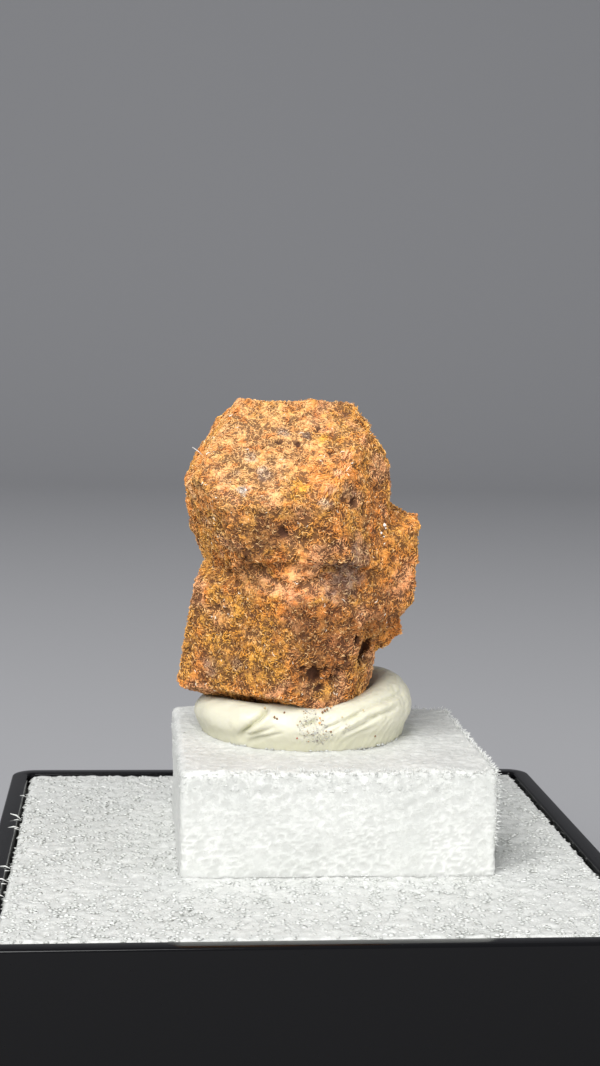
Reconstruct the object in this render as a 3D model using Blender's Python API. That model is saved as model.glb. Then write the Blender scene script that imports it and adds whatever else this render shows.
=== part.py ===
"""An andradite garnet cluster on a ring of mineral tack, a block of foam and a small display tray.

Metres, +Z up, and -Y is the front. The origin is under the middle of the tray, where it stands.
"""

import itertools
import math

import bmesh
import bpy
from mathutils import Euler, Matrix, Vector

MM = 0.001

# The tray is the base of a thumbnail box of one and a quarter inches: a foot that the lid sits on, and a
# wall that the lid slips over.
FOOT_SIDE = 0.03175
FOOT_HEIGHT = 0.0018
FOOT_CORNER = 0.0027
WALL_SIDE = 0.0287
WALL_THICKNESS = 0.00085
TRAY_HEIGHT = 0.008
FLOOR_THICKNESS = 0.001
RIM_BEVEL = 0.00012

# Pieces that lie on each other keep this much air, so that their meshes stay apart.
REST_GAP = 0.0001

# The foam liner fills the tray to just under its rim.
LINER_SIDE = WALL_SIDE - 2 * (WALL_THICKNESS + REST_GAP)
LINER_CORNER = 0.0004
LINER_BASE = FLOOR_THICKNESS + REST_GAP
LINER_TOP = TRAY_HEIGHT - 0.00005
LINER_BEVEL = 0.0003

# The foam block is cut by hand and stands off centre, to the right and the back.
BLOCK_SIZE = Vector((0.0144, 0.0134, 0.00475))
BLOCK_CENTRE = Vector((0.0014, 0.00145))
BLOCK_BASE = LINER_TOP + REST_GAP
BLOCK_TOP = BLOCK_BASE + BLOCK_SIZE.z
BLOCK_BEVEL = 0.00025

# The tack is a roll bent into an oval ring round a thin middle, whose height is a share of the roll's.
# The imprint is deeper than the crystals by the spare, in millimetres.
TACK_CENTRE = Vector((0.00045, 0.00295))
TACK_REACH = Vector((0.00535, 0.0049))
TACK_BASE = BLOCK_TOP + REST_GAP
TACK_ROLL = 0.00115
TACK_HEIGHTS = {"front": 0.0020, "right": 0.0029, "back": 0.0024, "left": 0.0018}
TACK_MIDDLE_RADIUS = 0.0024
TACK_MIDDLE_SHARE = 0.3
TACK_STEPS = 32
TACK_IMPRINT_SPARE = 0.25

# Each crystal: its centre, its turn about X, Y and Z in degrees, how far its faces stand from its centre,
# and the faces that stand nearer or farther, with all lengths in millimetres. The back one is a guess.
CRYSTALS = {
    "upper": ((-0.2, 2.6, 23.3), (36, 11, 45), 5.25, {
        (-1, -1, 0): 5.6,
        (-1, 1, 0): 5.6,
        (-1, 1, -1): 5.1,
        (-1, 0, -1): 4.5,
        (0, -1, -1): 2.8,
        (0, 1, -1): 4.0,
        (1, -1, 0): 4.7,
        (1, 0, 1): 4.2,
        (1, -1, 1): 4.6,
    }),
    "lower": ((-0.4, 2.4, 17.8), (-25, -30, 6), 4.5, {
        (-1, 0, -1): 3.8,
        (-1, -1, 0): 3.8,
        (0, 1, -1): 2.7,
        (1, 0, -1): 3.7,
        (1, -1, 0): 5.28,
        (-1, 0, 1): 4.8,
        (0, -1, 1): 4.43,
        (0, -2, 1): 5.0,
    }),
    "right": ((3.0, 1.4, 20.7), (38, -34, -22), 3.1, {
        (1, 0, -1): 2.3,
        (1, -1, 0): 2.6,
        (0, -1, -1): 2.5,
        (1, 1, 0): 3.5,
        (0, -1, 1): 4.1,
    }),
    "ledge": ((-0.9, 0.4, 20.8), (-10, 10, 35), 2.3, {
        (-1, 0, -1): 1.9,
    }),
    "shelf": ((-0.9, 0.4, 20.8), (-10, 10, 35), 2.3, {
        (-1, 0, -1): 1.6,
        (-1, -1, 0): 2.8,
    }),
    "bud": ((0.0, -2.0, 24.0), (20, -10, 30), 1.3, {}),
    "foot": ((2.0, 0.7, 16.3), (-9, -31, -23), 1.6, {
        (1, 0, -1): 1.3,
    }),
    "knuckle": ((3.0, 0.9, 18.9), (-43, 22, -17), 1.6, {
        (0, -1, 1): 2.2,
    }),
    "back": ((0.6, 5.4, 19.3), (15, 25, -10), 2.5, {
        (0, 1, 1): 2.1,
        (1, 1, 0): 2.9,
    }),
}
# The crystals that stand in the tack.
PRESSED_IN = ("lower", "foot")
# Broken hollows in the crystals: centre and radius, in millimetres.
HOLLOWS = {
    "lower front": ((0.6, -1.7, 16.3), 0.75),
    "under right": ((3.0, -0.7, 17.4), 0.8),
}
# A crystal is cut from a cube this many times its reach.
STOCK = 5
# The crust swells and sinks in two sizes: how wide the swellings are, and how far they go in and out.
CRUST_VOXEL = 0.00045
SWELLINGS = (0.0022, 0.0004)
GRAINS = (0.0008, 0.0002)


def clear_scene():
    for thing in list(bpy.context.scene.objects):
        bpy.data.objects.remove(thing, do_unlink=True)


def material(name, colour, roughness):
    made = bpy.data.materials.new(name)
    made.use_nodes = True
    shader = made.node_tree.nodes["Principled BSDF"]
    shader.inputs["Base Color"].default_value = (*colour, 1.0)
    shader.inputs["Roughness"].default_value = roughness
    return made


def object_from(bm, name, surface=None):
    bmesh.ops.recalc_face_normals(bm, faces=bm.faces)
    mesh = bpy.data.meshes.new(name)
    bm.to_mesh(mesh)
    bm.free()
    made = bpy.data.objects.new(name, mesh)
    bpy.context.scene.collection.objects.link(made)
    if surface:
        mesh.materials.append(surface)
    return made


def helper(thing):
    """A shape that only cuts or joins another one."""
    thing.hide_render = True
    thing.display_type = "WIRE"
    return thing


def combine(target, other, operation):
    step = target.modifiers.new(other.name, "BOOLEAN")
    step.operation = operation
    step.object = helper(other)


def parts_of(made, kind):
    return [part for part in made["geom"] if isinstance(part, kind)]


def rounded_square(bm, side, corner, height):
    """A level square face with round corners."""
    bmesh.ops.create_grid(bm, x_segments=1, y_segments=1, size=side / 2)
    bmesh.ops.bevel(
        bm, geom=bm.verts[:], offset=corner, segments=5, profile=0.5, affect="VERTICES", material=-1
    )
    bmesh.ops.translate(bm, verts=bm.verts, vec=(0, 0, height))
    return next(iter(bm.faces))


def raise_face(bm, face, height, keep=False):
    """Draws the face up, or down if the height is negative, on walls of its own outline."""
    made = bmesh.ops.extrude_face_region(bm, geom=[face])
    bmesh.ops.translate(bm, verts=parts_of(made, bmesh.types.BMVert), vec=(0, 0, height))
    if not keep:
        bm.faces.remove(face)
    return parts_of(made, bmesh.types.BMFace)[0]


def level_edges(bm, height):
    """The edges that lie at this height."""
    near = 1e-6
    flat = [edge for edge in bm.edges if abs(edge.verts[0].co.z - edge.verts[1].co.z) < near]
    return [edge for edge in flat if abs(edge.verts[0].co.z - height) < near]


def round_edges(bm, edges, offset):
    bmesh.ops.bevel(
        bm, geom=edges, offset=offset, segments=2, profile=0.5, affect="EDGES", material=-1
    )


def make_tray(surface):
    bm = bmesh.new()
    ledge = (FOOT_SIDE - WALL_SIDE) / 2
    bottom = rounded_square(bm, FOOT_SIDE, FOOT_CORNER, 0.0)
    top = raise_face(bm, bottom, FOOT_HEIGHT, keep=True)
    bmesh.ops.inset_region(bm, faces=[top], thickness=ledge, use_even_offset=True)
    top = raise_face(bm, top, TRAY_HEIGHT - FOOT_HEIGHT)
    bmesh.ops.inset_region(bm, faces=[top], thickness=WALL_THICKNESS, use_even_offset=True)
    raise_face(bm, top, FLOOR_THICKNESS - TRAY_HEIGHT)
    round_edges(bm, level_edges(bm, TRAY_HEIGHT), RIM_BEVEL)
    return object_from(bm, "display_tray", surface)


def make_liner(surface):
    bm = bmesh.new()
    bottom = rounded_square(bm, LINER_SIDE, LINER_CORNER, LINER_BASE)
    raise_face(bm, bottom, LINER_TOP - LINER_BASE, keep=True)
    round_edges(bm, level_edges(bm, LINER_TOP), LINER_BEVEL)
    return object_from(bm, "foam_liner", surface)


def make_block(surface):
    bm = bmesh.new()
    bmesh.ops.create_cube(bm, size=1.0)
    bmesh.ops.scale(bm, vec=BLOCK_SIZE, verts=bm.verts)
    middle = (*BLOCK_CENTRE, (BLOCK_BASE + BLOCK_TOP) / 2)
    bmesh.ops.translate(bm, vec=middle, verts=bm.verts)
    round_edges(bm, bm.edges[:], BLOCK_BEVEL)
    return object_from(bm, "foam_block", surface)


def crystal(name, centre, turn, reach, nearer_or_farther, spare=0.0):
    """Stock cut by the faces of a rhombic dodecahedron, each at its own distance from the centre."""
    bm = bmesh.new()
    bmesh.ops.create_cube(bm, size=STOCK * reach)
    directions = itertools.product((-1, 0, 1), repeat=3)
    dodecahedron = [way for way in directions if sum(map(abs, way)) == 2]
    distances = dict.fromkeys(dodecahedron, reach) | nearer_or_farther
    for way, distance in distances.items():
        normal = Vector(way).normalized()
        cut = bmesh.ops.bisect_plane(
            bm,
            geom=bm.verts[:] + bm.edges[:] + bm.faces[:],
            plane_co=normal * (distance + spare),
            plane_no=normal,
            clear_outer=True,
        )
        rim = [part for part in cut["geom_cut"] if isinstance(part, bmesh.types.BMEdge)]
        bmesh.ops.edgeloop_fill(bm, edges=rim)
    turned = Euler([math.radians(angle) for angle in turn]).to_matrix().to_4x4()
    placed = Matrix.Translation(Vector(centre) * MM) @ turned @ Matrix.Scale(MM, 4)
    bmesh.ops.transform(bm, matrix=placed, verts=bm.verts)
    return object_from(bm, name)


def hollow(name, centre, radius):
    """A rough ball that is taken out of the crystals."""
    bm = bmesh.new()
    place = Matrix.Translation(Vector(centre) * MM)
    bmesh.ops.create_icosphere(bm, subdivisions=2, radius=radius * MM, matrix=place)
    return object_from(bm, name)


def roughen(target, name, size, depth):
    """Pushes the surface in and out by a cloud of this size."""
    cloud = bpy.data.textures.new(name, "CLOUDS")
    cloud.noise_scale = size
    cloud.noise_depth = 1
    rough = target.modifiers.new(name, "DISPLACE")
    rough.texture = cloud
    rough.texture_coords = "LOCAL"
    rough.strength = depth
    rough.mid_level = 0.5


def make_garnet(surface):
    """Crystals that grew into each other, joined, worn at their edges and crusted."""
    (_, first), *others = CRYSTALS.items()
    cluster = crystal("garnet_cluster", *first)
    cluster.data.materials.append(surface)
    for name, row in others:
        combine(cluster, crystal(name + "_crystal", *row), "UNION")
    for name, row in HOLLOWS.items():
        combine(cluster, hollow(name + " hollow", *row), "DIFFERENCE")
    crust = cluster.modifiers.new("crust", "REMESH")
    crust.mode = "VOXEL"
    crust.voxel_size = CRUST_VOXEL
    worn = cluster.modifiers.new("worn edges", "SMOOTH")
    worn.factor = 0.5
    worn.iterations = 2
    roughen(cluster, "swellings", *SWELLINGS)
    roughen(cluster, "grains", *GRAINS)
    return cluster


def tack_height(angle):
    """How high the ring's roll stands at this angle, where 0 is the right and 90 degrees the back."""
    sides = (
        (TACK_HEIGHTS["right"], max(math.cos(angle), 0.0)),
        (TACK_HEIGHTS["left"], max(-math.cos(angle), 0.0)),
        (TACK_HEIGHTS["back"], max(math.sin(angle), 0.0)),
        (TACK_HEIGHTS["front"], max(-math.sin(angle), 0.0)),
    )
    return sum(height * share**2 for height, share in sides)


def make_tack(surface):
    """A turned ring with a thin middle, drawn out to an oval, with the cluster's foot pressed into it."""
    bm = bmesh.new()
    ring = TACK_REACH.x - TACK_ROLL
    arc = [math.radians(angle) for angle in range(-60, 211, 30)]
    outline = [(0.0, 0.0)]
    outline += [(ring + TACK_ROLL * math.cos(turn), (1 + math.sin(turn)) / 2) for turn in arc]
    outline += [(TACK_MIDDLE_RADIUS, TACK_MIDDLE_SHARE), (0.0, TACK_MIDDLE_SHARE)]
    profile = [bm.verts.new((radius, 0.0, share)) for radius, share in outline]
    edges = [bm.edges.new(pair) for pair in zip(profile, profile[1:])]
    bmesh.ops.spin(
        bm,
        geom=profile + edges,
        axis=(0, 0, 1),
        cent=(0, 0, 0),
        angle=math.tau,
        steps=TACK_STEPS,
        use_merge=True,
    )
    bmesh.ops.remove_doubles(bm, verts=bm.verts, dist=1e-6)
    for vert in bm.verts:
        angle = math.atan2(vert.co.y, vert.co.x)
        vert.co.x = TACK_CENTRE.x + vert.co.x
        vert.co.y = TACK_CENTRE.y + vert.co.y * TACK_REACH.y / TACK_REACH.x
        vert.co.z = TACK_BASE + vert.co.z * tack_height(angle)
    tack = object_from(bm, "tack_ring", surface)
    for name in PRESSED_IN:
        press = crystal(name + "_press", *CRYSTALS[name], spare=TACK_IMPRINT_SPARE)
        combine(tack, press, "DIFFERENCE")
    return tack


def main():
    clear_scene()
    foam = material("white foam", (0.86, 0.88, 0.88), 0.9)
    make_tray(material("black plastic", (0.004, 0.004, 0.005), 0.12))
    make_liner(foam)
    make_block(foam)
    make_tack(material("white tack", (0.80, 0.78, 0.64), 0.55))
    make_garnet(material("rusty garnet", (0.45, 0.22, 0.09), 0.8))


main()
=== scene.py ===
"""An andradite garnet cluster on a ring of mineral tack, a block of foam and a small display tray.

Metres, +Z up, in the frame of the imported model. -Y is the front.
"""

import itertools
import math
import random

import bmesh
import bpy
from mathutils import Euler, Matrix, Vector, noise


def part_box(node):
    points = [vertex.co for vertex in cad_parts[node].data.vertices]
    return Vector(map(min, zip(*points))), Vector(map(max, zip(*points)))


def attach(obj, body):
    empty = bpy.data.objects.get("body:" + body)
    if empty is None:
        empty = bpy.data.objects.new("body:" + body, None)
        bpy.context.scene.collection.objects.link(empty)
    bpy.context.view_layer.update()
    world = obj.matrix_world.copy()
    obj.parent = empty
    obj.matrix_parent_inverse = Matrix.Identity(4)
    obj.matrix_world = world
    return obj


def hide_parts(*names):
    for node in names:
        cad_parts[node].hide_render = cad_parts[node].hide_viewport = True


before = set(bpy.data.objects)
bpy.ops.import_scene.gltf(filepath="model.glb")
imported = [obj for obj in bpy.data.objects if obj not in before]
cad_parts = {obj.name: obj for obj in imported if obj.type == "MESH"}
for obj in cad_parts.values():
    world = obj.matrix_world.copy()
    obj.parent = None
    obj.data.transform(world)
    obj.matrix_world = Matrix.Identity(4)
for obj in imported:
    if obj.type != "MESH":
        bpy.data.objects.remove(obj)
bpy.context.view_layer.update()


# The tray is the base of a thumbnail box, moulded in one piece from glossy black polystyrene: a foot that the
# lid sits on, a thin wall with a flat rim, and a flat floor.
TRAY_WALL_SIDE = 0.0287
TRAY_WALL = 0.00085
TRAY_FOOT_HEIGHT = 0.0018
TRAY_FOOT_CORNER = 0.0027
TRAY_FLOOR = 0.001
TRAY_EDGE = 0.00012
TRAY_CORNER_STEPS = 14
TRAY_BEVELLED_FROM = math.radians(60)
TRAY_SHARP_FROM = math.radians(40)
TRAY_BLACK = (0.0035, 0.0035, 0.004)
SMEAR_SIZE = 0.006
DUST_SPACING = 0.0006
RIPPLE_SIZE = 0.009
RIPPLE_DEPTH = 0.00004


def parts_of(made, kind):
    return [part for part in made["geom"] if isinstance(part, kind)]


def rounded_square(bm, side, corner, height):
    """A level square face with round corners."""
    bmesh.ops.create_grid(bm, x_segments=1, y_segments=1, size=side / 2)
    bmesh.ops.bevel(
        bm,
        geom=bm.verts[:],
        offset=corner,
        segments=TRAY_CORNER_STEPS,
        profile=0.5,
        affect="VERTICES",
        material=-1,
    )
    bmesh.ops.translate(bm, verts=bm.verts, vec=(0, 0, height))
    return next(iter(bm.faces))


def raise_face(bm, face, height, keep=False):
    """Draws the face up, or down if the height is negative, on walls of its own outline."""
    made = bmesh.ops.extrude_face_region(bm, geom=[face])
    bmesh.ops.translate(bm, verts=parts_of(made, bmesh.types.BMVert), vec=(0, 0, height))
    if not keep:
        bm.faces.remove(face)
    return parts_of(made, bmesh.types.BMFace)[0]


def finished(bm, name, slot, surface, *nodes):
    """Makes the piece from its mesh, with its material and its place in the frame."""
    mesh = bpy.data.meshes.new(name)
    bm.to_mesh(mesh)
    bm.free()
    piece = bpy.data.objects.new(name, mesh)
    bpy.context.scene.collection.objects.link(piece)
    mesh.materials.append(surface)
    mesh.shade_smooth()
    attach(piece, "root")
    if nodes:
        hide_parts(*nodes)
    return piece


class Look:
    """A material whose nodes are added one by one. Sizes in its patterns are in metres."""

    def __init__(self, name, **settings):
        self.material = bpy.data.materials.new(name)
        self.material.use_nodes = True
        self.tree = self.material.node_tree
        self.shader = self.tree.nodes["Principled BSDF"]
        for socket, value in settings.items():
            self.shader.inputs[socket.replace("_", " ")].default_value = value
        self.place = self.node("ShaderNodeTexCoord").outputs["Object"]

    def node(self, kind, **sockets):
        made = self.tree.nodes.new(kind)
        for socket, value in sockets.items():
            self.feed(made.inputs[socket.replace("_", " ")], value)
        return made

    def feed(self, socket, value):
        if isinstance(value, bpy.types.NodeSocket):
            self.tree.links.new(value, socket)
        else:
            socket.default_value = value

    def noise(self, size, detail=3.0, roughness=0.55, distortion=0.0):
        made = self.node(
            "ShaderNodeTexNoise",
            Vector=self.place,
            Scale=1.0 / size,
            Detail=detail,
            Roughness=roughness,
            Distortion=distortion,
        )
        return made.outputs["Fac"]

    def cells(self, size):
        return self.node("ShaderNodeTexVoronoi", Vector=self.place, Scale=1.0 / size).outputs["Distance"]

    def attribute(self, name, output="Fac"):
        made = self.node("ShaderNodeAttribute")
        made.attribute_name = name
        return made.outputs[output]

    def between(self, value, low, high, start=0.0, end=1.0):
        """How far the value has gone from low to high, eased and clamped, as a number from start to end."""
        made = self.tree.nodes.new("ShaderNodeMapRange")
        made.interpolation_type = "SMOOTHSTEP"
        for socket, number in zip(range(5), (value, low, high, start, end)):
            self.feed(made.inputs[socket], number)
        return made.outputs["Result"]

    def maths(self, operation, first, second):
        made = self.tree.nodes.new("ShaderNodeMath")
        made.operation = operation
        self.feed(made.inputs[0], first)
        self.feed(made.inputs[1], second)
        return made.outputs["Value"]

    def mixed(self, share, first, second):
        made = self.tree.nodes.new("ShaderNodeMix")
        made.data_type = "RGBA"
        for socket, value in ((0, share), (6, first), (7, second)):
            if isinstance(value, tuple) and len(value) == 3:
                value = (*value, 1.0)
            self.feed(made.inputs[socket], value)
        return made.outputs[2]

    def bump(self, height, depth):
        return self.node("ShaderNodeBump", Height=height, Distance=depth).outputs["Normal"]

    def wear(self, **sockets):
        """Links patterns to the shader's own sockets."""
        for socket, value in sockets.items():
            self.feed(self.shader.inputs[socket.replace("_", " ")], value)
        return self.material


def black_plastic():
    look = Look("black_plastic", Base_Color=(*TRAY_BLACK, 1.0), Specular_IOR_Level=0.2)
    smears = look.noise(SMEAR_SIZE, detail=4.0)
    dust = look.between(look.cells(DUST_SPACING), 0.10, 0.03)
    rough = look.between(smears, 0.35, 0.7, 0.04, 0.12)
    look.wear(
        Roughness=look.maths("ADD", rough, look.maths("MULTIPLY", dust, 0.3)),
        Normal=look.bump(look.noise(RIPPLE_SIZE, detail=1.0), RIPPLE_DEPTH),
    )
    return look.material


foot_low, foot_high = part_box("display_tray")
foot_side = foot_high.x - foot_low.x
bm = bmesh.new()
bottom = rounded_square(bm, foot_side, TRAY_FOOT_CORNER, 0.0)
top = raise_face(bm, bottom, TRAY_FOOT_HEIGHT, keep=True)
ledge = (foot_side - TRAY_WALL_SIDE) / 2
bmesh.ops.inset_region(bm, faces=[top], thickness=ledge, use_even_offset=True)
top = raise_face(bm, top, foot_high.z - TRAY_FOOT_HEIGHT)
bmesh.ops.inset_region(bm, faces=[top], thickness=TRAY_WALL, use_even_offset=True)
raise_face(bm, top, TRAY_FLOOR - foot_high.z)
bmesh.ops.remove_doubles(bm, verts=bm.verts, dist=1e-7)
bmesh.ops.recalc_face_normals(bm, faces=bm.faces)
corners = [edge for edge in bm.edges if edge.calc_face_angle(0.0) > TRAY_BEVELLED_FROM]
bmesh.ops.bevel(
    bm, geom=corners, offset=TRAY_EDGE, segments=3, profile=0.5, affect="EDGES", material=-1
)
tray = finished(bm, "tray", "black_plastic", black_plastic(), "display_tray")
tray.data.set_sharp_from_angle(angle=TRAY_SHARP_FROM)


# The liner is a sheet of white closed-cell polyethylene foam, pressed into the tray. Its cut top is covered
# with small torn crumbs of foam, and a few threads of it stick out over its left edge.
LINER_STEP = 0.00012
LINER_EDGE = 0.0003
LINER_GRAIN = 0.00045
LINER_GRAIN_DEPTH = 0.00007
LINER_SWELL = 0.004
LINER_SWELL_DEPTH = 0.00003
RAGGED_SIZE = 0.0006
RAGGED_DEPTH = 0.00012
RAGGED_SHIFT = Vector((7, 3, 1))
RAGGED_DRAWN_IN = 0.00006
LINER_CREASE = ((-0.0064, -0.0109), (-0.0054, -0.0093))
CREASE_WIDTH = 0.00013
CREASE_DEPTH = 0.00016
FOAM_GRAIN = 0.0003
FOAM_GRAIN_DEPTH = 0.000015
FOAM_MOTTLE = 0.0022
FOAM_SCATTER = (0.0007, 0.0007, 0.00068)
FOAM_WHITE = (0.54, 0.545, 0.52)
FOAM_BRIGHT = (0.67, 0.675, 0.645)
FOAM_SHADE = (0.49, 0.50, 0.475)
FOAM_CRUMB_DULL = (0.51, 0.52, 0.495)
FOAM_CRUMB_BRIGHT = (0.68, 0.69, 0.66)
LINER_CRUMBS = 8000
CRUMB_SIZES = (0.00016, 0.00042)
CRUMB_SINKS = 0.00004
CRUMB_FLATNESS = 0.4
CRUMB_ROUGHNESS = 0.5
CRUMB_SLIMNESS = 0.7
BAR_GIRTH = 0.12
BAR_TAPER = 0.6
BAR_RISE = 0.14
BAR_SINKS = 0.04
THREAD_GIRTH = 0.6
THREAD_BEND = 50
THREAD_MIDDLE = 0.4
THREAD_ROOT = 0.00005
# Foot along the left edge, length and lean of each thread.
LINER_THREADS = (
    (0.0046, 0.00065, (-1.0, 0.2, 0.5)),
    (0.0043, 0.0004, (-1.0, -0.4, 0.2)),
    (0.0030, 0.0006, (-1.0, -0.2, 0.1)),
    (0.0027, 0.00035, (-1.0, 0.4, 0.0)),
    (-0.0035, 0.0005, (-1.0, 0.1, 0.2)),
    (-0.0039, 0.00035, (-1.0, -0.3, -0.1)),
    (-0.0054, 0.00055, (-1.0, -0.1, 0.3)),
    (-0.0058, 0.0004, (-1.0, -0.4, 0.0)),
    (-0.0075, 0.0004, (-1.0, 0.2, 0.1)),
    (0.0088, 0.00035, (-1.0, 0.2, 0.2)),
)


def eased(value, low, high):
    """0 at low, 1 at high, with a smooth way between."""
    share = min(max((value - low) / (high - low), 0.0), 1.0)
    return share * share * (3 - 2 * share)


def blended(first, second, share):
    return tuple(a + (b - a) * share for a, b in zip(first, second))


def mark(bm, name):
    """A number on each vertex, which the material reads."""
    return bm.verts.layers.float.new(name)


def bent_bar(bend, girth):
    """A three-sided bar of unit length, bent through this angle, with thin ends and a raised middle."""
    bm = bmesh.new()
    turn = math.radians(bend)
    corners = [math.radians(angle) for angle in (90, 210, 330)]
    bar = [
        bm.verts.new((1 / turn + girth * math.cos(corner), 0.0, girth * math.sin(corner)))
        for corner in corners
    ]
    end = bm.faces.new(bar)
    bmesh.ops.spin(bm, geom=[end], axis=(0, 0, 1), cent=(0, 0, 0), angle=turn, steps=2)
    for vert in bm.verts:
        angle = math.atan2(vert.co.y, vert.co.x)
        along = 2 * angle / turn - 1
        middle = Vector((math.cos(angle), math.sin(angle), 0.0)) / turn
        vert.co = middle + (vert.co - middle) * (1 - BAR_TAPER * along * along)
        vert.co.z += BAR_RISE * (1 - along * along) - BAR_SINKS
    half = Vector((math.cos(turn / 2), math.sin(turn / 2), 0.0)) / turn
    bmesh.ops.translate(bm, vec=-half, verts=bm.verts)
    quarter = Matrix.Rotation(-turn / 2 - math.radians(90), 3, "Z")
    bmesh.ops.rotate(bm, matrix=quarter, verts=bm.verts)
    bmesh.ops.recalc_face_normals(bm, faces=bm.faces)
    return bm


def crumb():
    """A rough grain of unit size with eight faces, thinner one way."""
    bm = bmesh.new()
    bmesh.ops.create_uvsphere(bm, u_segments=4, v_segments=2, radius=0.5)
    for vert in bm.verts:
        vert.co *= 1 + CRUMB_ROUGHNESS * noise.noise(vert.co * 3)
        vert.co.y *= CRUMB_SLIMNESS
    return bm


def pattern_of(bm):
    """The points and faces of a small shape, to lay copies of it."""
    bm.verts.index_update()
    points = [vert.co.copy() for vert in bm.verts]
    faces = [[vert.index for vert in face.verts] for face in bm.faces]
    bm.free()
    return points, faces


crumb_pattern = pattern_of(crumb())
thread_pattern = pattern_of(bent_bar(THREAD_BEND, BAR_GIRTH))
picker = random.Random(11)
# Without this seed the noise that bends the foam's cells would be another one in each run.
noise.seed_set(11)


def laid(name, slot, surface, copies):
    """One piece made of copies of small shapes. Each copy has its pattern, its place and its colour."""
    places, faces, colours = [], [], []
    for (points, corners), place, colour in copies:
        first = len(places)
        places.extend(place @ point for point in points)
        faces.extend([first + corner for corner in face] for face in corners)
        colours.extend([*colour, 1.0] * len(points))
    mesh = bpy.data.meshes.new(name)
    mesh.from_pydata(places, [], faces)
    shade = mesh.attributes.new("tint", "FLOAT_COLOR", "POINT")
    shade.data.foreach_set("color", colours)
    bm = bmesh.new()
    bm.from_mesh(mesh)
    bpy.data.meshes.remove(mesh)
    return finished(bm, name, slot, surface)


def foam_crumb(place, sizes):
    """A copy of the crumb here, turned at random, as dull as the foam or brighter."""
    turned = Euler([picker.uniform(0, math.tau) for _ in range(3)]).to_matrix().to_4x4()
    size = picker.triangular(*sizes, sizes[0])
    light = picker.uniform(0.0, 1.0) ** 3
    colour = blended(FOAM_CRUMB_DULL, FOAM_CRUMB_BRIGHT, light)
    flattened = Matrix.Diagonal((size, size, size * CRUMB_FLATNESS, 1.0))
    return crumb_pattern, Matrix.Translation(place) @ flattened @ turned, colour


def foam_thread(foot, length, lean):
    """A copy of the thread, which starts at the foot and runs along the lean."""
    lean = Vector(lean).normalized()
    turned = lean.to_track_quat("X", "Z").to_matrix().to_4x4()
    placed = Matrix.Translation(foot + lean * length * THREAD_MIDDLE) @ turned @ Matrix.Scale(length, 4)
    thin = Matrix.Diagonal((1.0, THREAD_GIRTH, THREAD_GIRTH, 1.0))
    return thread_pattern, placed @ thin, FOAM_CRUMB_BRIGHT


def white_foam():
    """Bright rims round the cells where the surface is cupped, and a finer grain elsewhere."""
    look = Look(
        "white_foam",
        Roughness=0.55,
        Subsurface_Weight=0.6,
        Subsurface_Radius=FOAM_SCATTER,
        Subsurface_Scale=1.0,
        Specular_IOR_Level=0.4,
    )
    grain = look.between(look.noise(FOAM_GRAIN, detail=4.0, roughness=0.7), 0.40, 0.66)
    plain = look.maths("MULTIPLY", grain, look.attribute("plain"))
    bright = look.maths("ADD", plain, look.attribute("rim"))
    colour = look.mixed(bright, FOAM_WHITE, FOAM_BRIGHT)
    mottle = look.between(look.noise(FOAM_MOTTLE, detail=3.0), 0.42, 0.7)
    colour = look.mixed(look.maths("MULTIPLY", mottle, 0.35), colour, FOAM_SHADE)
    look.wear(Base_Color=colour, Normal=look.bump(grain, FOAM_GRAIN_DEPTH))
    return look.material


def foam_crumbs():
    look = Look("foam_crumbs", Roughness=0.6, Specular_IOR_Level=0.4)
    look.wear(Base_Color=look.attribute("tint", "Color"))
    return look.material


liner_low, liner_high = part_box("foam_liner")
half = (liner_high.x - liner_low.x) / 2
cells = round(2 * half / LINER_STEP)
bm = bmesh.new()
plain = mark(bm, "plain")
bmesh.ops.create_grid(bm, x_segments=cells, y_segments=cells, size=half)
crease_foot, crease_top = (Vector(end) for end in LINER_CREASE)
crease = crease_top - crease_foot
bmesh.ops.translate(bm, verts=bm.verts, vec=(0, 0, liner_high.z))
for vert in bm.verts:
    inside = half - max(abs(vert.co.x), abs(vert.co.y))
    grain = noise.turbulence(vert.co / LINER_GRAIN, 3, False)
    swell = noise.noise(vert.co / LINER_SWELL)
    ragged = RAGGED_DEPTH * noise.noise(vert.co / RAGGED_SIZE + RAGGED_SHIFT)
    vert[plain] = 1.0
    drop = LINER_EDGE * (1 - eased(inside, 0.0, LINER_EDGE)) ** 2
    along = min(max((vert.co.xy - crease_foot).dot(crease) / crease.length_squared, 0.0), 1.0)
    away = (vert.co.xy - crease_foot - crease * along).length / CREASE_WIDTH
    drop += CREASE_DEPTH * math.exp(-away * away)
    vert.co.z += LINER_GRAIN_DEPTH * (grain - 0.5) + LINER_SWELL_DEPTH * swell - drop
    if inside < LINER_STEP / 2:
        vert.co.x += ragged * (1 if vert.co.x > 0 else -1) - math.copysign(RAGGED_DRAWN_IN, vert.co.x)
rim = [edge for edge in bm.edges if edge.is_boundary]
sides = bmesh.ops.extrude_edge_only(bm, edges=rim)
for vert in parts_of(sides, bmesh.types.BMVert):
    vert.co.z = liner_low.z
low_rim = [edge for edge in bm.edges if edge.is_boundary]
bmesh.ops.edgeloop_fill(bm, edges=low_rim)
bmesh.ops.recalc_face_normals(bm, faces=bm.faces)
foam = white_foam()
liner = finished(bm, "liner", "white_foam", foam, "foam_liner")

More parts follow.
